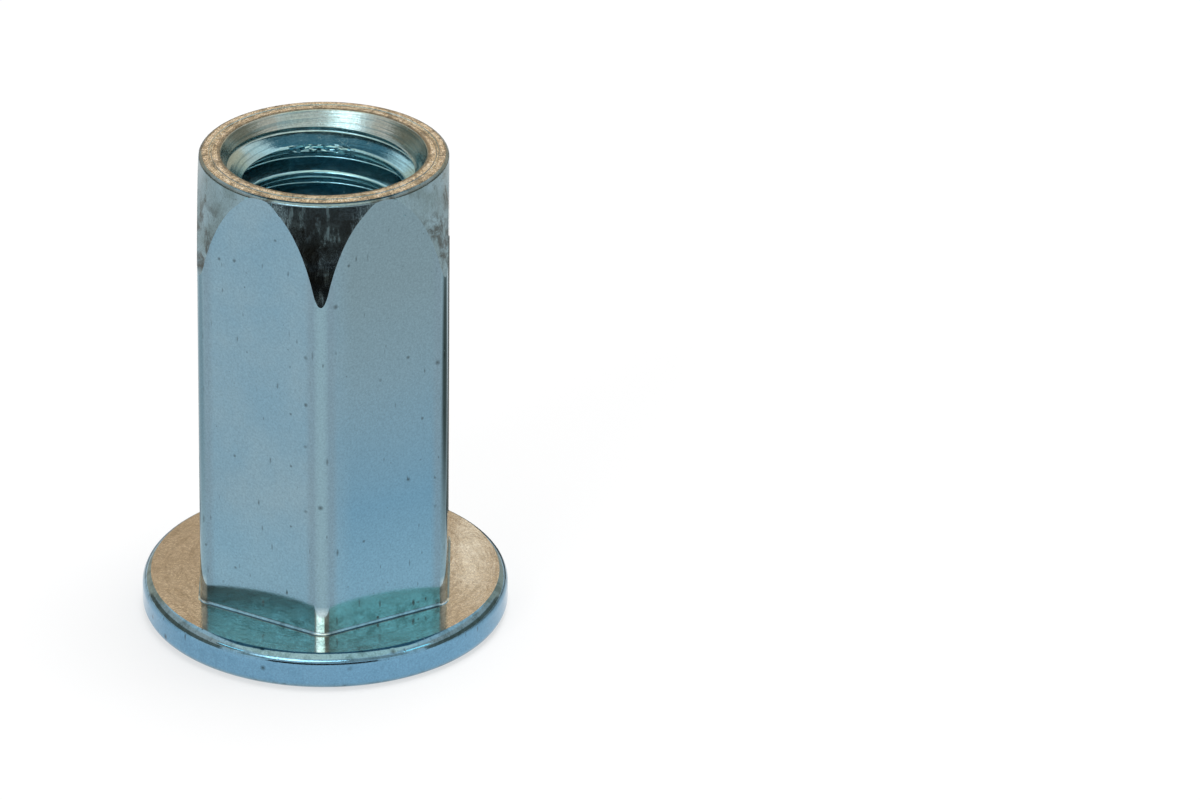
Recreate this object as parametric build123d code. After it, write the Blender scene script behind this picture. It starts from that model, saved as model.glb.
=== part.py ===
from build123d import *
import math
import os

# Hexagon-shank rivet nut, M10, with a flat flange: one cold-formed steel piece.
# Frame: origin on the axis, on the outer face of the flange; +Z runs up the shank to the tip.

# hexagon shank
across_flats = 13.0
shank_corner_radius = 0.8
overall_length = 26.55

# flange: upright edge that rolls over in a shoulder up to the flat seat, with a round below
flange_diameter = 19.4
flange_thickness = 2.05
flange_shoulder_width = 0.45
flange_shoulder_drop = 0.72
flange_lower_edge_radius = 0.55
root_fillet_radius = 0.15

# nose: the shank's corners fade into a slightly bulged cone that ends just inside the flats
nose_length = 5.45
nose_end_inset = 0.03
nose_bulge = 0.1
tip_edge_radius = 0.27

# crush zone: counterbore from the flange face, with a thin wall behind the flats
crush_wall = 0.6
counterbore_depth = 9.3
mouth_chamfer = 0.2

# thread, bored to its crests; the turns are not cut here
thread_diameter = 10.0
thread_pitch = 1.5

# step between the counterbore and the thread, just inside the thread's full diameter
relief_inset = 0.1
relief_length = 1.3
lead_in_half_angle = 45.0

# countersink at the tip, just outside the thread's full diameter
countersink_overhang = 0.38
countersink_half_angle = 27.0

# derived sizes
flat_distance = across_flats / 2
corner_reach = (flat_distance - shank_corner_radius) / math.cos(math.radians(30)) + shank_corner_radius
counterbore_radius = flat_distance - crush_wall
thread_radius = (thread_diameter - thread_pitch) / 2
relief_radius = thread_diameter / 2 - relief_inset
relief_end = counterbore_depth + relief_length
thread_start = relief_end + (relief_radius - thread_radius) / math.tan(math.radians(lead_in_half_angle))
countersink_radius = thread_diameter / 2 + countersink_overhang
countersink_depth = (countersink_radius - thread_radius) / math.tan(math.radians(countersink_half_angle))
thread_end = overall_length - countersink_depth

# the shoulder is an arc that leaves the upright edge smoothly and meets the seat in a crease
seat_edge = Vector(flange_diameter / 2 - flange_shoulder_width, flange_thickness)
shoulder_foot = Vector(flange_diameter / 2, flange_thickness - flange_shoulder_drop)

# the nose line runs from the tip down to where the rounded corners reach their full size
nose_top = Vector(flat_distance - nose_end_inset, overall_length)
nose_base = Vector(corner_reach, overall_length - nose_length)
nose_chord = nose_top - nose_base
nose_outward = Vector(nose_chord.Y, -nose_chord.X).normalized()
nose_middle = (nose_top + nose_base) * 0.5 + nose_outward * nose_bulge

with BuildPart() as rivet_nut:
    # hexagon prism with rounded corners, two of them on the Y axis
    with BuildSketch(Plane.XY) as shank_section:
        RegularPolygon(flat_distance, 6, major_radius=False, rotation=30)
        fillet(shank_section.vertices(), shank_corner_radius)
    extrude(amount=overall_length)

    # turned envelope: trims the corners to the nose and rounds the edge of the tip
    with BuildSketch(Plane.XZ) as nose_section:
        with BuildLine():
            nose_arc = ThreePointArc(nose_top, nose_middle, nose_base)
            run_out = Line(nose_base, nose_base + (nose_arc % 1) * nose_length / 2)
            clear_of_shank = run_out @ 1
            Polyline(clear_of_shank, (clear_of_shank.X, 0), (0, 0), (0, overall_length), nose_top)
        make_face()
        tip_corner = nose_section.vertices().sort_by_distance(nose_top)[0]
        fillet(tip_corner, tip_edge_radius)
    revolve(axis=Axis.Z, mode=Mode.INTERSECT)

    # flange, with its shoulder above and a rounded edge below
    with BuildSketch(Plane.XZ) as flange_section:
        with BuildLine():
            TangentArc(shoulder_foot, seat_edge, tangent=(0, 1))
            Polyline(seat_edge, (0, flange_thickness), (0, 0), (flange_diameter / 2, 0), shoulder_foot)
        make_face()
        lower_edge = flange_section.vertices().group_by(Axis.Y)[0].sort_by(Axis.X)[-1]
        fillet(lower_edge, flange_lower_edge_radius)
    revolve(axis=Axis.Z)

    # small fillet where the shank stands on the flange
    flange_seat = rivet_nut.faces().filter_by(Axis.Z).sort_by(Axis.Z)[1]
    fillet(flange_seat.inner_wires()[0].edges(), root_fillet_radius)

    # stepped bore: counterbore, relief, lead-in, thread bore and the countersink at the tip
    with BuildSketch(Plane.XZ):
        with BuildLine():
            Polyline(
                (0, 0),
                (counterbore_radius, 0),
                (counterbore_radius, counterbore_depth),
                (relief_radius, counterbore_depth),
                (relief_radius, relief_end),
                (thread_radius, thread_start),
                (thread_radius, thread_end),
                (countersink_radius, overall_length),
                (0, overall_length),
                close=True,
            )
        make_face()
    revolve(axis=Axis.Z, mode=Mode.SUBTRACT)

    # small chamfer round the mouth in the flange face
    outer_face = rivet_nut.faces().filter_by(Axis.Z).sort_by(Axis.Z)[0]
    chamfer(outer_face.inner_wires()[0].edges(), mouth_chamfer)

os.makedirs("parts", exist_ok=True)
export_step(rivet_nut.part, "parts/rivet_nut.step")
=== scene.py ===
import bpy
import math
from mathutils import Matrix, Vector


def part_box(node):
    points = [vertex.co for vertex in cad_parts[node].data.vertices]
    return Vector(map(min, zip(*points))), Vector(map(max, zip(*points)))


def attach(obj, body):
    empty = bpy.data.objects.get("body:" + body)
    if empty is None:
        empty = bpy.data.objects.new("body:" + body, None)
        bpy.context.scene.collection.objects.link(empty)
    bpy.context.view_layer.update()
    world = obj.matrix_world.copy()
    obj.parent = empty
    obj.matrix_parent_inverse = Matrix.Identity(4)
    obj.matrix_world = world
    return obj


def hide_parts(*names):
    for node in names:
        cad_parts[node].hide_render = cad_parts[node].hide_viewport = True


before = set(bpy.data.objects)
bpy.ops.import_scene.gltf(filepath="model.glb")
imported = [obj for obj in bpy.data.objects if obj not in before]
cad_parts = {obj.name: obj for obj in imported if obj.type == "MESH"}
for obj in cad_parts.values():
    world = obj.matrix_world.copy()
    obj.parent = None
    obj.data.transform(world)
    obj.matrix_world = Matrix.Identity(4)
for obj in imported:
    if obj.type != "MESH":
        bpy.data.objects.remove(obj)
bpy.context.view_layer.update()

nutLow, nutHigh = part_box("rivet_nut")
print("frame loaded")

# The nut is modelled with one unit as one millimetre and brought down to metres at the end.
mm = 1000.0
past = 1.0        # how far a cutting solid runs on past what it cuts
near = 0.01       # closer than this counts as equal
weld = 0.0005


def clearSelection():
    if bpy.context.object and bpy.context.object.mode != "OBJECT":
        bpy.ops.object.mode_set(mode="OBJECT")
    bpy.ops.object.select_all(action="DESELECT")


def pick(piece):
    clearSelection()
    piece.select_set(True)
    bpy.context.view_layer.objects.active = piece


def selectWhere(piece, kind, wanted):
    # leaves edit mode on, with only the wanted verts, edges or faces selected
    pick(piece)
    bpy.ops.object.mode_set(mode="EDIT")
    bpy.ops.mesh.select_mode(type=kind)
    bpy.ops.mesh.select_all(action="DESELECT")
    bpy.ops.object.mode_set(mode="OBJECT")
    mesh = piece.data
    places = [v.co for v in mesh.vertices]
    if kind == "VERT":
        for v in mesh.vertices:
            v.select = wanted([v.co])
    else:
        for bit in mesh.edges if kind == "EDGE" else mesh.polygons:
            bit.select = wanted([places[i] for i in bit.vertices])
    bpy.ops.object.mode_set(mode="EDIT")


def applyModifier(piece, kind, **settings):
    pick(piece)
    step = piece.modifiers.new("step", kind)
    for key, value in settings.items():
        setattr(step, key, value)
    bpy.ops.object.modifier_apply(modifier=step.name)


def combine(piece, other, operation):
    applyModifier(piece, "BOOLEAN", object=other, operation=operation, solver="EXACT")
    bpy.data.objects.remove(other)


def arcPoints(centre, first, last, steps):
    # first and last are seen from the centre
    turn = first.angle_signed(last)
    line = []
    for k in range(steps + 1):
        angle = -turn * k / steps
        line.append(centre + Vector((
            first.x * math.cos(angle) - first.y * math.sin(angle),
            first.x * math.sin(angle) + first.y * math.cos(angle))))
    return line


def roundedLine(corners, arcStep=4.0):
    # corners are (r, z) or (r, z, radius); each radius becomes an arc of short chords
    line = []
    for i, corner in enumerate(corners):
        here = Vector(corner[:2])
        radius = corner[2] if len(corner) > 2 else 0
        if not radius:
            line.append(here)
            continue
        before = (Vector(corners[i - 1][:2]) - here).normalized()
        after = (Vector(corners[i + 1][:2]) - here).normalized()
        opening = before.angle(after)
        centre = here + (before + after).normalized() * radius / math.sin(opening / 2)
        first = here + before * radius / math.tan(opening / 2) - centre
        last = here + after * radius / math.tan(opening / 2) - centre
        steps = max(2, math.ceil(math.degrees(math.pi - opening) / arcStep))
        line.extend(arcPoints(centre, first, last, steps))
    return line


def bulgedLine(start, end, bulge, steps):
    # a shallow arc from start to end that stands out by bulge on its right-hand side
    start, end = Vector(start), Vector(end)
    chord = end - start
    out = Vector((chord.y, -chord.x)).normalized()
    radius = (chord.length ** 2 / 4 + bulge ** 2) / (2 * bulge)
    centre = (start + end) / 2 - out * (radius - bulge)
    return arcPoints(centre, start - centre, end - centre, steps)


def drawProfile(name, points):
    # one vertex, extruded from point to point in the XZ plane
    clearSelection()
    bpy.ops.mesh.primitive_plane_add(size=1, location=(0, 0, 0))
    piece = bpy.context.object
    piece.name = name
    bpy.ops.object.mode_set(mode="EDIT")
    bpy.ops.mesh.select_mode(type="VERT")
    bpy.ops.mesh.select_all(action="SELECT")
    bpy.ops.mesh.merge(type="CENTER")
    bpy.ops.transform.translate(value=(points[0][0], 0, points[0][1]))
    for a, b in zip(points, points[1:]):
        bpy.ops.mesh.extrude_vertices_move(
            TRANSFORM_OT_translate={"value": (b[0] - a[0], 0, b[1] - a[1])})
    return piece


def turnProfile(name, points, steps):
    # a turned solid; the profile starts and ends on the axis
    piece = drawProfile(name, points)
    bpy.ops.mesh.select_all(action="SELECT")
    bpy.ops.mesh.spin(steps=steps, angle=2 * math.pi, center=(0, 0, 0), axis=(0, 0, 1))
    bpy.ops.mesh.select_all(action="SELECT")
    bpy.ops.mesh.remove_doubles(threshold=weld)
    bpy.ops.mesh.normals_make_consistent(inside=False)
    bpy.ops.object.mode_set(mode="OBJECT")
    return piece


# The rivet nut: cold-formed hexagon shank, flange, stepped bore and M10 x 1.5 thread.
# Sizes are in mm and angles in degrees.

nutSizes = {
    "length": (nutHigh.z - nutLow.z) * mm,
    "acrossFlats": 13.0,
    "cornerRadius": 0.8,
    "flangeDiameter": (nutHigh.x - nutLow.x) * mm,
    "flangeThickness": 2.05,
    "shoulderWidth": 0.45,    # the edge rolls over and meets the flat seat in a crease
    "shoulderDrop": 0.72,
    "lowerEdgeRadius": 0.55,
    "rootRadius": 0.15,
    "rootSink": 0.004,        # the root fillet ends just inside the flange
    "noseLength": 5.45,
    "noseInset": 0.03,
    "noseBulge": 0.1,
    "tipRadius": 0.27,
    "tipRunIn": 0.3,          # straight stretch of the nose line below the rounding
    "tipTilt": 1.3,           # the tip was cut off a little out of square
    "tipRise": 0.04,
    "counterboreRadius": 5.9,
    "counterboreDepth": 9.3,
    "mouthChamfer": 0.2,
    "reliefRadius": 4.9,
    "reliefEnd": 10.6,
    "pitch": 1.5,
    "threadCrest": 4.25,
    "threadRoot": 5.1,
    "crestFlat": 0.3,
    "crestEdge": 0.24,
    "rootEdge": 0.14,
    "flankAngle": 30.0,
    "crestDepthAtBack": 3.36,  # middle of the second crest below the tip, on +Y
    "tapAllowance": 0.05,      # how far the bore stays inside the crests that the tap leaves
    "countersinkRadius": 5.38,
    "countersinkAngle": 27.0,
    "countersinkDepth": 1.0,
    "countersinkEdge": 0.12,
    "countersinkBlend": 1.0,
    # the tip face: a tool line between two narrow lands, each a little crowned
    "faceGroove": (5.91, 0.17, 0.05),  # radius, width, depth
    "outerLand": (6.19, 6.0, 0.009),   # from, to, height
    "innerLand": (5.82, 5.48, 0.016),
    # the torn edge of the first crest, at the back
    "tear": 0.07,
    "tearDepth": (1.35, 2.2),          # from and to, below the tip
    "tearSide": (-1.9, 1.4),
    "tearReach": 4.56,
}
halfSide = math.radians(30)     # half the angle that one flat takes up round the axis
meshSteps = {
    "turn": 180,
    "corner": 16,
    "rootFillet": 18,
    "shoulder": 16,
    "nose": 26,
    "land": 8,
    "thread": 120,
    "boreArc": 8.0,      # degrees to a step
    "threadArc": 12.0,
    "smoothUnder": 5.0,  # degrees between faces that are shaded as one
    "boreSharpOver": 25.0,
}


def cornerReach(s):
    flat = s["acrossFlats"] / 2
    return (flat - s["cornerRadius"]) / math.cos(halfSide) + s["cornerRadius"]


def tiltTip(piece, s):
    # turns the last bit of the piece with the tip face, front side up
    reach = s["tipRadius"] + 2 * near
    selectWhere(piece, "VERT", lambda spot: spot[0].z > s["length"] - reach)
    bpy.ops.transform.rotate(
        value=math.radians(s["tipTilt"]), orient_axis="X", center_override=(0, 0, s["length"]))
    bpy.ops.transform.translate(value=(0, 0, s["tipRise"]))
    bpy.ops.object.mode_set(mode="OBJECT")
    return piece


def makeShank(s):
    flat = s["acrossFlats"] / 2
    foot = s["flangeThickness"] + s["rootRadius"] - s["rootSink"]
    top = s["length"] + past
    clearSelection()
    bpy.ops.mesh.primitive_cylinder_add(
        vertices=6, radius=flat / math.cos(halfSide), depth=top - foot,
        location=(0, 0, (top + foot) / 2))
    shank = bpy.context.object
    shank.name = "rivetNut"
    bpy.ops.object.transform_apply(location=True, rotation=True, scale=True)
    selectWhere(shank, "EDGE", lambda ends: abs(ends[0].z - ends[1].z) > near)
    bpy.ops.mesh.bevel(
        offset=s["cornerRadius"] * math.tan(halfSide), segments=meshSteps["corner"], profile=0.5,
        affect="EDGES")
    # the small fillet down to the flange, drawn out in rings from the bottom face
    selectWhere(shank, "FACE", lambda ring: all(abs(c.z - foot) < near for c in ring))
    steps, reach, drop = meshSteps["rootFillet"], flat, 0.0
    for k in range(1, steps + 1):
        angle = math.radians(90 * k / steps)
        newDrop = s["rootRadius"] * math.sin(angle)
        newReach = flat + s["rootRadius"] * (1 - math.cos(angle))
        bpy.ops.mesh.extrude_region_move(
            TRANSFORM_OT_translate={"value": (0, 0, drop - newDrop)})
        bpy.ops.transform.resize(
            value=(newReach / reach, newReach / reach, 1), center_override=(0, 0, 0))
        reach, drop = newReach, newDrop
    bpy.ops.mesh.extrude_region_move(TRANSFORM_OT_translate={"value": (0, 0, -past)})
    bpy.ops.object.mode_set(mode="OBJECT")
    return shank


def makeNoseEnvelope(s):
    # trims the shank's corners to the nose and rounds the edge of the tip
    length, tipRadius = s["length"], s["tipRadius"]
    base = (cornerReach(s), length - s["noseLength"])
    tip = (s["acrossFlats"] / 2 - s["noseInset"], length)
    nose = bulgedLine(base, tip, s["noseBulge"], meshSteps["nose"])
    runOut = (nose[0] - nose[1]).normalized() * 3 * past + nose[0]
    # the rounding touches the tip face and the straight end of the nose line
    keep = [p for p in nose if p.y < length - tipRadius - s["tipRunIn"]]
    edge = roundedLine([keep[-1], (*tip, tipRadius), (0, length)])
    middle, wide, deep = s["faceGroove"]
    groove = [(middle + wide * k / 2, length - deep * (1 - k * k))
              for k in (1, 0.6, 0.2, -0.2, -0.6, -1)]
    steps = meshSteps["land"]
    lands = []
    for start, end, high in (s["outerLand"], s["innerLand"]):
        lands.append([
            (start + (end - start) * k / steps, length + high * (1 - (k / (steps / 2) - 1) ** 2))
            for k in range(steps + 1)])
    points = [(0, -past), (runOut.x, -past), runOut, *keep[:-1], *edge[:-1],
              *lands[0], *groove, *lands[1], edge[-1]]
    return tiltTip(turnProfile("noseEnvelope", points, meshSteps["turn"]), s)


def makeFlange(s):
    edge, thick = s["flangeDiameter"] / 2, s["flangeThickness"]
    wide, drop = s["shoulderWidth"], s["shoulderDrop"]
    # the shoulder's arc leaves the upright edge smoothly
    radius = (wide ** 2 + drop ** 2) / (2 * wide)
    sweep = math.asin(drop / radius)
    shoulder = []
    for k in range(meshSteps["shoulder"] + 1):
        angle = sweep * k / meshSteps["shoulder"]
        shoulder.append((
            edge - radius * (1 - math.cos(angle)), thick - drop + radius * math.sin(angle)))
    rim = roundedLine([(0, 0), (edge, 0, s["lowerEdgeRadius"]), shoulder[0]])
    return turnProfile("flange", [*rim, *shoulder[1:], (0, thick)], meshSteps["turn"])


def makeBoreCutter(s):
    # counterbore, relief, lead-in, and a countersink that turns in to the first whole thread
    length, core = s["length"], s["threadCrest"] - s["tapAllowance"]
    bore, relief, sink = s["counterboreRadius"], s["reliefRadius"], s["countersinkRadius"]
    sinkEnd = length - s["countersinkDepth"]
    sinkFoot = sink - s["countersinkDepth"] * math.tan(math.radians(s["countersinkAngle"]))
    clear = sink + 0.4
    points = roundedLine([
        (0, -past),
        (bore + s["mouthChamfer"] + past, -past),
        (bore, s["mouthChamfer"]),
        (bore, s["counterboreDepth"]),
        (relief, s["counterboreDepth"]),
        (relief, s["reliefEnd"]),
        (core, s["reliefEnd"] + relief - core),
        (core, sinkEnd - (sinkFoot - core)),
        (sinkFoot, sinkEnd, s["countersinkBlend"]),
        (sink, length, s["countersinkEdge"]),
        (clear, length + 3 * near),
        (clear, length + past),
        (0, length + past)], meshSteps["boreArc"])
    return tiltTip(turnProfile("boreCutter", points, meshSteps["turn"]), s)


def makeTap(s):
    # one pitch of the thread, from crest to crest, wound up the bore
    pitch, crest, root = s["pitch"], s["threadCrest"], s["threadRoot"]
    half = s["crestFlat"] / 2
    flank = (root - crest) * math.tan(math.radians(s["flankAngle"]))
    points = roundedLine([
        (crest, 0),
        (crest, half, s["crestEdge"]),
        (root, half + flank, s["rootEdge"]),
        (root, pitch - half - flank, s["rootEdge"]),
        (crest, pitch - half, s["crestEdge"]),
        (crest, pitch)], meshSteps["threadArc"])
    start = s["length"] - s["crestDepthAtBack"]
    while start - pitch > s["reliefEnd"] - past:
        start -= pitch
    turns = math.ceil((s["length"] + past / 2 - start) / pitch)
    tap = drawProfile("tap", [(p[0], p[1] + start) for p in points])
    bpy.ops.mesh.select_all(action="SELECT")
    # the profile stands on +Y, where the crest's depth is known
    bpy.ops.transform.rotate(
        value=-math.radians(90), orient_axis="Z", center_override=(0, 0, 0))
    bpy.ops.object.mode_set(mode="OBJECT")
    applyModifier(
        tap, "SCREW", angle=2 * math.pi, screw_offset=pitch, iterations=turns,
        steps=meshSteps["thread"], render_steps=meshSteps["thread"], axis="Z",
        use_merge_vertices=True, merge_threshold=weld, use_smooth_shade=True)
    # weld the turns together, then close both ends to a point on the axis
    bpy.ops.object.mode_set(mode="EDIT")
    bpy.ops.mesh.select_all(action="SELECT")
    bpy.ops.mesh.remove_doubles(threshold=2 * weld)
    for end in ("lower", "upper"):
        bpy.ops.mesh.select_mode(type="EDGE")
        bpy.ops.mesh.select_all(action="DESELECT")
        bpy.ops.mesh.select_non_manifold(
            extend=False, use_wire=False, use_boundary=True, use_multi_face=False,
            use_non_contiguous=False, use_verts=False)
        if end == "lower":
            bpy.ops.object.mode_set(mode="OBJECT")
            middle = start + pitch * (turns + 1) / 2
            for e in tap.data.edges:
                if e.select and tap.data.vertices[e.vertices[0]].co.z > middle:
                    e.select = False
            for v in tap.data.vertices:
                v.select = False
            bpy.ops.object.mode_set(mode="EDIT")
        bpy.ops.mesh.extrude_edges_move(TRANSFORM_OT_translate={"value": (0, 0, 0)})
        bpy.ops.mesh.merge(type="CENTER")
    bpy.ops.mesh.select_all(action="SELECT")
    bpy.ops.mesh.normals_make_consistent(inside=False)
    bpy.ops.object.mode_set(mode="OBJECT")
    return tap


def tearCrest(piece, s):
    # the first crest ran out thin at the back, and the tap tore its edge
    high, low = (s["length"] - depth for depth in s["tearDepth"])
    left, right = s["tearSide"]
    selectWhere(piece, "VERT", lambda spot: (
        low < spot[0].z < high and spot[0].xy.length < s["tearReach"]
        and spot[0].y > 0 and left < spot[0].x < right))
    bpy.ops.transform.vertex_random(offset=s["tear"], uniform=0.6, normal=0.4, seed=5)
    bpy.ops.object.mode_set(mode="OBJECT")


nut = makeShank(nutSizes)
combine(nut, makeNoseEnvelope(nutSizes), "INTERSECT")
combine(nut, makeFlange(nutSizes), "UNION")
combine(nut, makeBoreCutter(nutSizes), "DIFFERENCE")
combine(nut, makeTap(nutSizes), "DIFFERENCE")
tearCrest(nut, nutSizes)
print("nut cut:", len(nut.data.vertices), "vertices")


# Regions of the surface, each with the finish that its forming left.

regions = ["formedFlats", "formedNose", "facedTip", "flangeSeat", "cutBore"]
regionLimits = {
    "facedFrom": 5.25,
    "facedTo": 6.35,
    "facedDepth": 0.3,
    "facedUp": 0.75,       # how far a face looks up, from 0 to 1
    "boreWithin": 6.2,
    "boreMargin": 0.5,
    "sideways": 0.2,       # how far a face looks away from the axis, or to it
    "noseMargin": 0.2,
    "noseUp": 0.03,
    "seatFrom": 6.4,
    "seatBand": 0.02,
    "seatUp": 0.99,
}


def regionOf(centre, normal, s, limits):
    radius = math.hypot(centre.x, centre.y)
    outward = (centre.x * normal.x + centre.y * normal.y) / max(radius, weld)
    z, up = centre.z, normal.z
    fromTip = s["length"] - z
    inBore = limits["boreMargin"] < z < s["length"] - limits["boreMargin"]
    if (limits["facedFrom"] < radius < limits["facedTo"] and fromTip < limits["facedDepth"]
            and up > limits["facedUp"]):
        return "facedTip"
    if radius < limits["boreWithin"] and (outward < -limits["sideways"] or inBore):
        return "cutBore"
    if (fromTip < s["noseLength"] + limits["noseMargin"] and up > limits["noseUp"]
            and outward > limits["sideways"]):
        return "formedNose"
    if (radius > limits["seatFrom"] and abs(z - s["flangeThickness"]) < limits["seatBand"]
            and up > limits["seatUp"]):
        return "flangeSeat"
    return "formedFlats"


def finishMesh(piece):
    pick(piece)
    bpy.ops.object.shade_smooth_by_angle(angle=math.radians(meshSteps["smoothUnder"]))
    # the bore's small rounds have wider steps, so there only real corners stay sharp
    bpy.ops.object.mode_set(mode="EDIT")
    bpy.ops.mesh.select_mode(type="FACE")
    bpy.ops.mesh.select_all(action="DESELECT")
    piece.active_material_index = regions.index("cutBore")
    bpy.ops.object.material_slot_select()
    bpy.ops.mesh.mark_sharp(clear=True)
    bpy.ops.mesh.select_mode(type="EDGE")
    bpy.ops.mesh.select_all(action="DESELECT")
    bpy.ops.mesh.edges_select_sharp(sharpness=math.radians(meshSteps["boreSharpOver"]))
    bpy.ops.mesh.mark_sharp()
    bpy.ops.object.mode_set(mode="OBJECT")
    applyModifier(piece, "WEIGHTED_NORMAL", keep_sharp=True)
    piece.scale = (1 / mm,) * 3
    bpy.ops.object.transform_apply(location=True, rotation=True, scale=True)


# Materials. A look's sizes and heights are in mm, and a tone is a colour with the share
# of the surface's own colour that it takes.

plainLook = {
    "colour": "#7A9BAC",
    "cloud": ("#84A0AD", 1.0),
    "cloudSize": 5.0,
    "grainSize": 0.11,       # the real crystals are finer, drawn coarse enough to show
    "grainHeight": 0.001,
    "grainContrast": 0.14,
    "waveSize": 3.0,
    "waveHeight": 0.010,
    "roughness": (0.07, 0.12),
}
finishLooks = {
    "formedFlats": {
        **plainLook,
        "head": ("#778F98", 1.0), "foot": ("#6B94AB", 1.0), "low": ("#80A9BC", 0.45),
        # the corner tones: a painted highlight down each corner, a line of painted shade either side, and
        # a brighter painted highlight at each corner's foot
        "cornerSideShade": ("#788F9B", 0.6), "corner": ("#88A7B2", 0.8), "cornerFootHighlight": ("#CFE2E6", 0.88),
        # the root tone is painted shade in the angle with the flange, broken up by its own noise
        "root": ("#3C5A60", 0.5), "rootShadeBreakupSize": 0.7692, "rim": ("#6E9CBA", 0.8),
        "speckSpacing": 0.75, "speckRadius": 0.15, "speckDepth": 0.01, "speckColour": "#323B3B",
    },
    "formedNose": {
        **plainLook,
        "colour": "#7F979F", "cloud": ("#6F8386", 1.0), "cloudSize": 1.2,
        # the scar tone is partly drag marks and partly painted shade, for the dark that the nose corners
        # mirror
        "stain": ("#41443B", 0.75), "scarAndPaintedShade": ("#3F413B", 0.8), "stainSize": 1.3,
        "grainHeight": 0.0018, "waveSize": 0.9, "waveHeight": 0.016,
        "streakSize": 0.24, "streakLength": 1.7, "streakHeight": 0.014, "scuffRoughness": 0.26,
        "roughness": (0.06, 0.22),
    },
    "facedTip": {
        **plainLook,
        # the colour is the faced film's straw, raised near to white as a painted highlight so that the
        # lands sparkle
        "colour": "#FFF3DE", "cloud": ("#D2C19D", 1.0), "cloudSize": 0.25,
        # the outer-edge tone is painted shade on the tip's rounded outer edge
        "innerEdge": ("#66675A", 0.8), "outerEdgeShade": ("#66675A", 0.6),
        "skipped": ("#66675A", 0.65), "skipSize": 0.6,
        "grainSize": 0.08, "grainHeight": 0.07, "grainContrast": 0.8,
        "ringsOnFace": True, "ringSize": 0.17, "ringBreak": 0.35, "ringHeight": 0.02,
        "ring": ("#8A7B5C", 0.65),
        "speckSpacing": 0.2, "speckRadius": 0.1, "speckDepth": 0.01, "speckColour": "#41371F",
        "roughness": (0.05, 0.15),
    },
    "flangeSeat": {
        **plainLook,
        # the seat's warm tint is partly the film's own straw and partly a painted warm reflection
        "colour": "#B3AFA2", "cloud": ("#A8A293", 1.0), "cloudSize": 1.0,
        "grainSize": 0.14, "grainHeight": 0.004, "grainContrast": 0.22,
        "ringsOnFace": True, "ringSize": 0.3, "ringBreak": 0.9, "ringHeight": 0.003,
        "ring": ("#8F8776", 0.45),
    },
    "cutBore": {
        **plainLook,
        # the deep tone is painted light: the thread's turns coloured a clearer blue, for the light they
        # bounce to one another
        "colour": "#B2C3C2", "cloud": ("#A0B2AE", 1.0), "cloudSize": 1.3, "deep": ("#9CCAD6", 1.0),
        "ringsOnFace": False, "ringSize": 0.09, "ringBreak": 0.2, "ringHeight": 0.006,
        "ring": ("#6F949C", 0.6),
        "streakSize": 0.2, "streakLength": 1.6, "streakHeight": 0.006, "scuffRoughness": 0.1,
        "roughness": (0.12, 0.22),
    },
}

# The noise patterns: detail, roughness and twist.
noiseKinds = {
    "cloud": (6.0, 0.62, 0.0),
    "stain": (8.0, 0.7, 0.4),
    # breaks up the painted shade in the angle with the flange
    "rootShadeBreakup": (8.0, 0.75, 0.0),
    "skip": (4.0, 0.7, 0.0),
    "grain": (3.0, 0.7, 0.0),
    "wave": (1.0, 0.5, 0.0),
    "streak": (4.0, 0.6, 0.0),
}

# Where each tone sets in, in the order in which they are laid: what it follows, and from
# and to which value. Heights z, sides x and the radius are in mm, and a pattern runs 0 to 1.
tip, seat, rim = nutSizes["length"], nutSizes["flangeThickness"], nutSizes["flangeDiameter"] / 2
reach = cornerReach(nutSizes)
cornerLine = [("radius", reach - 0.092, reach - 0.007), ("radius", reach + 0.078, reach + 0.038)]
toneFades = {
    "cloud": [("cloud", 0.38, 0.66)],
    # down the right-hand side the flats go greyer toward the head and bluer toward the foot, and
    # all round they are lighter near the foot
    "foot": [("z", 22.0, 9.0), ("x", -0.3, 1.6)],
    "head": [("z", 9.0, 22.0), ("x", -0.3, 1.6)],
    "low": [("z", 9.0, 4.5)],
    # painted light down the thread: its turns are coloured a clearer blue than the bore above,
    # standing in for the light that they bounce to one another
    "deep": [("z", tip - 0.75, tip - 1.65)],
    # painted highlight down each corner, with a line of painted shade on either side, and by the
    # flange a brighter painted highlight on the last of each corner
    "cornerSideShade": [("radius", reach - 0.322, reach - 0.182), cornerLine[1]],
    "corner": cornerLine,
    "cornerFootHighlight": [*cornerLine, ("z", seat + 1.65, seat + 1.25)],
    # bare, darker patches where the tool dragged the surface, and darker still where the corners
    # run out into the nose: there partly drag marks and partly painted shade, for the dark that the
    # nose corners mirror
    "stain": [("stain", 0.56, 0.63)],
    "scarAndPaintedShade": [("stain", 0.44, 0.54), ("cornerWave", -0.1, 0.75),
             ("z", tip - 5.95, tip - 4.35), ("z", tip - 0.95, tip - 2.15)],
    # painted shade in the angle with the flange, broken up into patches
    "root": [("z", seat + 1.55, seat + 0.45), ("rootShadeBreakup", 0.48, 0.6)],
    # the tip face goes darker toward its inner edge, and toward its outer edge as painted shade for
    # the dark that the rounded edge mirrors; it is dull in patches where the tool skipped
    "innerEdge": [("radius", 5.6, 5.47)],
    "outerEdgeShade": [("radius", 6.2, 6.34)],
    "skipped": [("skip", 0.5, 0.62)],
    # the flange's edge is bluer
    "rim": [("radius", rim - 0.1, rim - 0.01)],
    "ring": [("ring", 0.52, 0.64)],
}

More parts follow.
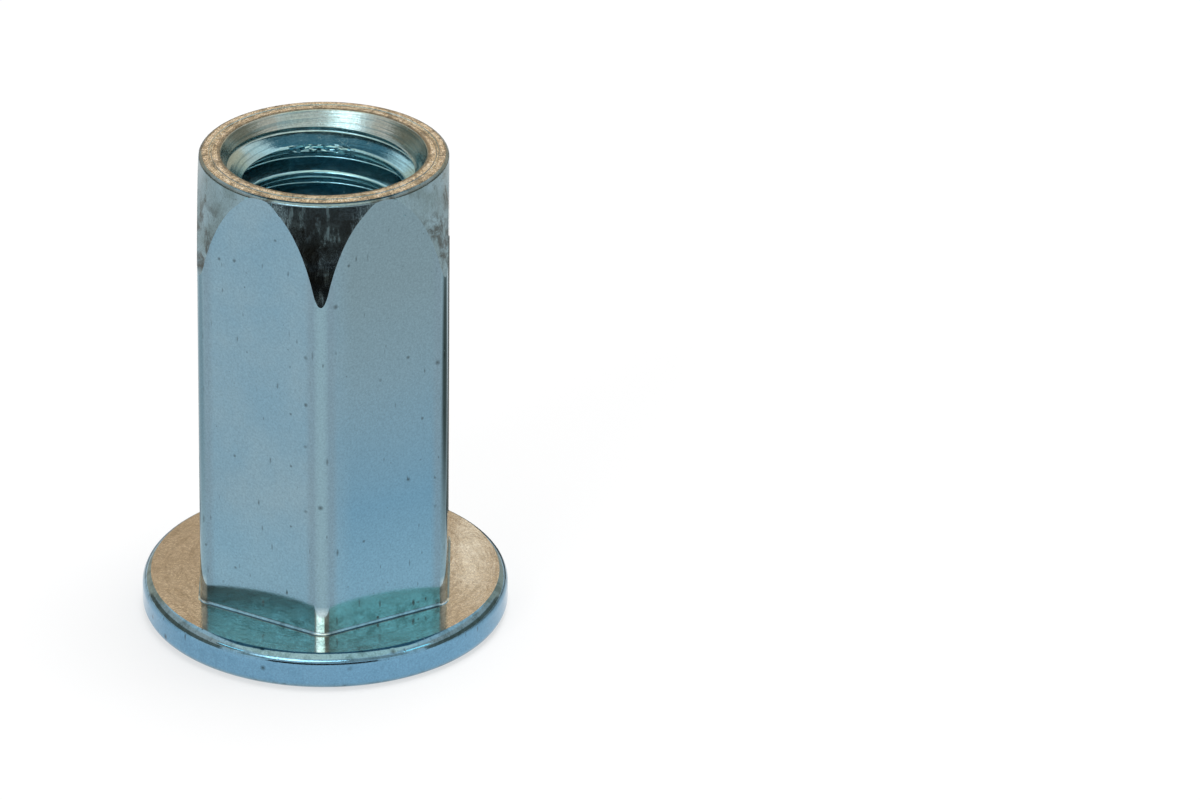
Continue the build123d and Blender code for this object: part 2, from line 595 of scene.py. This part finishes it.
# Small marks: turn about X and Y, stretch along the nut, share of the spacing and of the
# radius, and cover. Round pits first, then short scratches that run mostly along the nut.
speckKinds = (
    ((0.0, 0.0), 1.0, 1.0, 1.0, 0.85),
    ((0.6, 0.36), 0.32, 0.5, 0.5, 0.8),
    ((-0.4, -0.24), 0.2, 0.5, 0.4, 0.6),
)
specksAtCorner = (reach - 0.432, reach - 0.132, 1.5)   # from, to, and how much wider


def hexColour(code):
    # sRGB hex to linear
    values = []
    for i in (1, 3, 5):
        v = int(code[i:i + 2], 16) / 255
        values.append(v / 12.92 if v <= 0.04045 else ((v + 0.055) / 1.055) ** 2.4)
    return (*values, 1.0)


def newMaterial(name):
    material = bpy.data.materials.new(name)
    material.use_nodes = True
    material.node_tree.nodes.clear()
    return material


def addNode(tree, kind, inputs=None, **settings):
    # inputs are given by socket name or number; a socket is linked, anything else is set
    node = tree.nodes.new(kind)
    for key, value in settings.items():
        setattr(node, key, value)
    for key, value in (inputs or {}).items():
        socket = node.inputs[key]
        if isinstance(value, bpy.types.NodeSocket):
            tree.links.new(value, socket)
        else:
            socket.default_value = value
    return node


def surfacePlaces(tree):
    # the spot on the nut in mm, its height and sides, and its distance from the axis
    place = addNode(tree, "ShaderNodeTexCoord")
    spot = addNode(tree, "ShaderNodeVectorMath", {0: place.outputs["Object"], 1: (mm, mm, mm)},
                   operation="MULTIPLY").outputs[0]
    axes = addNode(tree, "ShaderNodeSeparateXYZ", {0: spot}).outputs
    flat = addNode(tree, "ShaderNodeVectorMath", {0: spot, 1: (1, 1, 0)},
                   operation="MULTIPLY").outputs[0]
    radius = addNode(tree, "ShaderNodeVectorMath", {0: flat}, operation="LENGTH").outputs["Value"]
    # 1 at the hexagon's corners and -1 at the middle of its flats
    around = addNode(tree, "ShaderNodeMath", {0: axes[1], 1: axes[0]}, operation="ARCTAN2")
    sixfold = addNode(tree, "ShaderNodeMath", {0: around.outputs[0], 1: 6.0, 2: math.pi},
                      operation="MULTIPLY_ADD")
    cornerWave = addNode(tree, "ShaderNodeMath", {0: sixfold.outputs[0]}, operation="COSINE")
    return {"spot": spot, "flat": flat, "radius": radius, "x": axes[0], "z": axes[2],
            "cornerWave": cornerWave.outputs[0]}


def addPatterns(tree, look, at):
    for name, (detail, roughness, twist) in noiseKinds.items():
        if name + "Size" not in look:
            continue
        size, where = look[name + "Size"], at["spot"]
        if name == "streak":
            # drag marks, drawn out along the nut
            where = addNode(tree, "ShaderNodeMapping", {
                "Vector": where, "Scale": (1, 1, size / look["streakLength"])}).outputs[0]
        at[name] = addNode(tree, "ShaderNodeTexNoise", {
            "Vector": where, "Scale": 1 / size, "Detail": detail, "Roughness": roughness,
            "Distortion": twist}).outputs[0]
    if "ringSize" in look:
        # rings from the cutting tool: round the axis on a face, along it in the bore
        across = at["radius"] if look["ringsOnFace"] else at["z"]
        line = addNode(tree, "ShaderNodeMath", {0: across, 1: 1 / look["ringSize"]},
                       operation="MULTIPLY")
        loose = addNode(tree, "ShaderNodeVectorMath", {0: at["flat"], 3: look["ringBreak"]},
                        operation="SCALE")
        looseAxes = addNode(tree, "ShaderNodeSeparateXYZ", {0: loose.outputs[0]}).outputs
        along = addNode(tree, "ShaderNodeCombineXYZ", {
            0: line.outputs[0], 1: looseAxes[0], 2: looseAxes[1]})
        at["ring"] = addNode(tree, "ShaderNodeTexNoise", {
            "Vector": along.outputs[0], "Scale": 1.0, "Detail": 2.0, "Roughness": 0.6}).outputs[0]


def addTones(tree, look, at):
    # (how much, colour) for each tone of the look, faded by all that it follows
    tones = []
    for name, fades in toneFades.items():
        if name not in look:
            continue
        code, cover = look[name]
        for source, start, end in fades:
            fade = addNode(tree, "ShaderNodeMapRange", {
                0: at[source], 1: start, 2: end, 3: 0.0, 4: 1.0})
            cover = addNode(tree, "ShaderNodeMath", {0: fade.outputs[0], 1: cover},
                            operation="MULTIPLY").outputs[0]
        tones.append((cover, code))
    return tones


def addSpecks(tree, look, at):
    # small pits and scratches, more of both at the corners
    specks = []
    start, end, wider = specksAtCorner
    corner = addNode(tree, "ShaderNodeMapRange", {
        0: at["radius"], 1: start, 2: end, 3: 1.0, 4: wider})
    for turn, stretch, spacingShare, radiusShare, cover in speckKinds:
        spacing = look["speckSpacing"] * spacingShare
        radius = look["speckRadius"] * radiusShare
        laid = addNode(tree, "ShaderNodeMapping", {
            "Vector": at["spot"], "Rotation": (*turn, 0), "Scale": (1, 1, stretch)})
        cells = addNode(tree, "ShaderNodeTexVoronoi", {
            "Vector": laid.outputs[0], "Scale": 1 / spacing, "Randomness": 1.0})
        draw = addNode(tree, "ShaderNodeSeparateColor", {0: cells.outputs["Color"]})
        size = addNode(tree, "ShaderNodeMath", {0: draw.outputs[0], 1: 3.0}, operation="POWER")
        grown = addNode(tree, "ShaderNodeMath", {0: size.outputs[0], 1: corner.outputs[0]},
                        operation="MULTIPLY")
        edge = addNode(tree, "ShaderNodeMath", {0: grown.outputs[0], 1: radius / spacing},
                       operation="MULTIPLY")
        specks.append(addNode(tree, "ShaderNodeMapRange", {
            0: cells.outputs["Distance"], 1: 0.0, 2: edge.outputs[0], 3: cover, 4: 0.0}).outputs[0])
    return specks


def platedSteel(name, look):
    # Cold-formed steel, zinc plated and blue passivated: a close, shiny metal with a steel-blue
    # cast that turns to straw on the faced ends and the flange seat, partly the film's own and partly
    # a painted warm reflection, cloudy patches where the film is thicker, a fine grain, the pits, drag
    # marks and tool rings that forming and cutting left, and painted highlights and shade on the
    # corners, the nose, the tip's edge, the angle with the flange and down the thread.
    material = newMaterial(name)
    tree = material.node_tree
    at = surfacePlaces(tree)
    addPatterns(tree, look, at)
    tones = addTones(tree, look, at)
    heights = [(at[key], look[key + "Height"]) for key in ("grain", "wave", "streak", "ring")
               if key + "Height" in look]
    if "speckSpacing" in look:
        for speck in addSpecks(tree, look, at):
            tones.append((speck, look["speckColour"]))
            heights.append((speck, -look["speckDepth"]))

    colour = hexColour(look["colour"])
    for cover, code in tones:
        colour = addNode(tree, "ShaderNodeMix", {0: cover, 6: colour, 7: hexColour(code)},
                         data_type="RGBA").outputs[2]
    contrast = look["grainContrast"]
    fleck = addNode(tree, "ShaderNodeMapRange", {
        0: at["grain"], 1: 0.3, 2: 0.7, 3: 1 - contrast, 4: 1 + contrast})
    colour = addNode(tree, "ShaderNodeVectorMath", {0: colour, 3: fleck.outputs[0]},
                     operation="SCALE").outputs[0]

    raised = 0.0
    for pattern, tall in heights:
        raised = addNode(tree, "ShaderNodeMath", {0: pattern, 1: tall, 2: raised},
                         operation="MULTIPLY_ADD").outputs[0]
    bump = addNode(tree, "ShaderNodeBump", {"Strength": 1.0, "Distance": 1 / mm, "Height": raised})

    smooth, rough = look["roughness"]
    roughness = addNode(tree, "ShaderNodeMapRange", {
        0: at["cloud"], 1: 0.3, 2: 0.7, 3: smooth, 4: rough}).outputs[0]
    if "scuffRoughness" in look:
        scuff = addNode(tree, "ShaderNodeMapRange", {
            0: at["streak"], 1: 0.5, 2: 0.75, 3: 0.0, 4: look["scuffRoughness"]})
        roughness = addNode(tree, "ShaderNodeMath", {0: roughness, 1: scuff.outputs[0]},
                            operation="ADD").outputs[0]
    shader = addNode(tree, "ShaderNodeBsdfPrincipled", {
        "Base Color": colour, "Metallic": 1.0, "Roughness": roughness, "Normal": bump.outputs[0]})
    addNode(tree, "ShaderNodeOutputMaterial", {0: shader.outputs[0]})
    return material


nut.data.materials.clear()
for region in regions:
    nut.data.materials.append(platedSteel("zincPlatedBluePassivated_" + region, finishLooks[region]))
for f in nut.data.polygons:
    f.material_index = regions.index(regionOf(f.center, f.normal, nutSizes, regionLimits))
finishMesh(nut)
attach(nut, "root")
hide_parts("rivet_nut")
print("nut finished:", len(nut.data.vertices), "vertices")


# Floor, light and camera, in metres.

studio = {
    "floorSize": 1.2,
    "floorGap": 0.00002,      # the floor lies this far under the nut
    "floorColour": "#F4F4F4",
    "floorGlow": 0.6,         # how far the floor shows as plain white
    "airForDiffuse": 0.45,
    "aim": (0, 0, 0.012),
    # lamps, which the metal doesn't mirror: place, size, watts
    "lamps": {
        "keySoftbox": ((-0.36, -0.56, 0.36), (0.3, 0.3), 1.0),
        "topSoftbox": ((0.1, 0.1, 0.9), (0.5, 0.5), 6.0),
    },
    "softCore": 0.25,         # how much of a soft card is at full strength
    # cards that only the metal mirrors: size, place, turn in degrees, colour, strength, soft edge
    "cards": {
        "darkTable": ((0.24, 0.12), (0, -0.122, 0.0005), (0, 0, 0), "#3E3F42", 1.0, False),
        "darkFront": ((0.24, 0.04), (0, -0.19, 0.02), (90, 0, 0), "#453F3C", 1.0, False),
        "greyFront": ((1.6, 0.3), (0, -0.62, 0.33), (90, 0, 0), "#CDCBC6", 1.0, False),
        "keyGlow": ((0.6, 0.2), (-0.199, -0.491, 0.282), (62, 0, -22), "#E8F7FF", 5.0, True),
        "frontTop": ((0.7, 0.4), (0, -0.25, 0.4), (0, 0, 0), "#FFF6E4", 1.35, False),
        "warmWall": ((1.2, 0.44), (0, 0.5, 0.23), (90, 0, 0), "#E6CFB6", 1.0, False),
        "wallGlow": ((0.5, 0.05), (0, 0.49, 0.33), (90, 0, 0), "#FFF0D6", 2.6, False),
        "backTable": ((0.6, 0.36), (0, 0.31, 0.0005), (0, 0, 0), "#544B3F", 1.0, False),
        "sideLeft": ((0.7, 0.2), (-0.5, 0.1, 0.1), (90, 0, 90), "#8C8476", 1.0, False),
        "sideRight": ((0.7, 0.2), (0.5, 0.1, 0.1), (90, 0, 90), "#8C8476", 1.0, False),
        "sideLeftTop": ((0.9, 0.3), (-0.55, 0.1, 0.38), (90, 0, 90), "#F0DDD2", 1.0, False),
        "sideRightTop": ((0.9, 0.3), (0.55, 0.1, 0.38), (90, 0, 90), "#F0DDD2", 1.0, False),
        "overhead": ((0.6, 0.36), (0, 0.13, 0.5), (0, 0, 0), "#527886", 1.0, False),
        "cornerGlow": ((0.1, 0.02), (0, -0.2, 0.11), (90, 0, 0), "#DCF8FF", 5.2, False),
        "seatGlow": ((0.0026, 0.007), (0.0075, 0.04, 0.0226), (90, 0, 0), "#FFFBF4", 2.0, True),
        # shades on the floor, for the outer edges of the two side flats
        "leftShade": ((0.058, 0.05), (-0.0345, 0.0085, 0.0004), (0, 0, -15), "#CDD6DA", 1.0, True),
        "rightShade": ((0.058, 0.05), (0.0345, 0.0085, 0.0004), (0, 0, 15), "#666A64", 1.0, True),
        "leftEdgeShade": ((0.0145, 0.038), (-0.00925, 0.0245, 0.0003), (0, 0, 0), "#9AA0A2", 1.0, False),
        "rightEdgeShade": ((0.0145, 0.038), (0.00925, 0.0245, 0.0003), (0, 0, 0), "#5E6462", 1.0, False),
        # small flags close to the foot, which the flats and the flange mirror twice
        "footGlowRight": ((0.010, 0.005), (0.0292, -0.0206, 0.0182), (90, 0, 60), "#C0F9FD", 2.25, False),
        "footGlowLeft": ((0.010, 0.0032), (-0.0292, -0.0206, 0.0198), (90, 0, -60), "#B4F0FC", 2.6, False),
        "footDarkLeft": ((0.010, 0.0028), (-0.0292, -0.0206, 0.0168), (90, 0, -60), "#020406", 1.0, False),
    },
}
cameraView = {
    "location": (0.010574, -0.409227, 0.224021),
    "turn": (62.636, -0.654, -0.207),
    "lens": 262.93,
    "sensor": 36,
    "clipStart": 0.01,
}


def inRadians(turn):
    return [math.radians(a) for a in turn]


def nonDiffuse(tree):
    # 1 for the camera and for what metal and glass mirror, 0 for plain light
    path = addNode(tree, "ShaderNodeLightPath").outputs
    seen = addNode(tree, "ShaderNodeMath", {0: path["Is Camera Ray"], 1: path["Is Glossy Ray"]},
                   operation="MAXIMUM")
    return addNode(tree, "ShaderNodeMath", {0: seen.outputs[0], 1: path["Is Transmission Ray"]},
                   operation="MAXIMUM").outputs[0]


def makeStage(s):
    clearSelection()
    bpy.ops.mesh.primitive_plane_add(
        size=s["floorSize"], location=(0, 0, nutLow.z - s["floorGap"]))
    floor = bpy.context.object
    floor.name = "floor"
    # matt white paper sweep, lit so evenly that it shows nearly as plain white
    material = newMaterial("whitePaperSweep")
    tree = material.node_tree
    paper = addNode(tree, "ShaderNodeBsdfDiffuse", {"Color": hexColour(s["floorColour"])})
    glow = addNode(tree, "ShaderNodeEmission", {"Color": (1, 1, 1, 1), "Strength": 1.0})
    share = addNode(tree, "ShaderNodeMath", {0: nonDiffuse(tree), 1: s["floorGlow"]},
                    operation="MULTIPLY")
    mix = addNode(tree, "ShaderNodeMixShader", {
        0: share.outputs[0], 1: paper.outputs[0], 2: glow.outputs[0]})
    addNode(tree, "ShaderNodeOutputMaterial", {0: mix.outputs[0]})
    floor.data.materials.append(material)


def makeCard(name, size, place, turn, colour, strength, soft):
    # a studio card that shapes the metal's reflections, out of the camera's sight
    clearSelection()
    bpy.ops.mesh.primitive_plane_add(size=1, location=place, rotation=inRadians(turn))
    card = bpy.context.object
    card.name = name
    card.scale = (*size, 1)
    bpy.ops.object.transform_apply(location=False, rotation=False, scale=True)
    material = newMaterial(name)
    tree = material.node_tree
    shade = addNode(tree, "ShaderNodeEmission", {"Color": hexColour(colour), "Strength": strength})
    if soft:
        # full in the middle, clear at the edge
        spot = addNode(tree, "ShaderNodeTexCoord").outputs["Object"]
        spread = addNode(tree, "ShaderNodeVectorMath", {0: spot, 1: (2 / size[0], 2 / size[1], 0)},
                         operation="MULTIPLY")
        away = addNode(tree, "ShaderNodeVectorMath", {0: spread.outputs[0]}, operation="LENGTH")
        share = addNode(tree, "ShaderNodeMapRange", {
            0: away.outputs["Value"], 1: 1.0, 2: studio["softCore"], 3: 0.0, 4: 1.0},
            interpolation_type="SMOOTHSTEP")
        clear = addNode(tree, "ShaderNodeBsdfTransparent")
        shade = addNode(tree, "ShaderNodeMixShader", {
            0: share.outputs[0], 1: clear.outputs[0], 2: shade.outputs[0]})
    addNode(tree, "ShaderNodeOutputMaterial", {0: shade.outputs[0]})
    card.data.materials.append(material)
    card.visible_camera = False
    card.visible_diffuse = False
    card.visible_shadow = False


def makeLamp(name, place, size, power):
    clearSelection()
    bpy.ops.object.light_add(type="AREA", location=place)
    lamp = bpy.context.object
    lamp.name = name
    lamp.data.shape = "RECTANGLE"
    lamp.data.size, lamp.data.size_y = size
    lamp.data.energy = power
    lamp.rotation_euler = (Vector(place) - Vector(studio["aim"])).to_track_quat("Z", "Y").to_euler()
    lamp.visible_glossy = False


def makeWorld(s):
    world = bpy.data.worlds.new("studio")
    bpy.context.scene.world = world
    world.use_nodes = True
    tree = world.node_tree
    tree.nodes.clear()
    strength = addNode(tree, "ShaderNodeMapRange", {
        0: nonDiffuse(tree), 1: 0.0, 2: 1.0, 3: s["airForDiffuse"], 4: 1.0})
    air = addNode(tree, "ShaderNodeBackground", {
        "Color": (1, 1, 1, 1), "Strength": strength.outputs[0]})
    addNode(tree, "ShaderNodeOutputWorld", {0: air.outputs[0]})


def makeCamera(s):
    bpy.ops.object.camera_add(location=s["location"], rotation=inRadians(s["turn"]))
    camera = bpy.context.object
    camera.data.lens = s["lens"]
    camera.data.sensor_width = s["sensor"]
    camera.data.clip_start = s["clipStart"]
    bpy.context.scene.camera = camera


makeStage(studio)
makeWorld(studio)
for name, settings in studio["lamps"].items():
    makeLamp(name, *settings)
for name, settings in studio["cards"].items():
    makeCard(name, *settings)
makeCamera(cameraView)
bpy.context.scene.view_settings.view_transform = "Standard"
print("stage set")
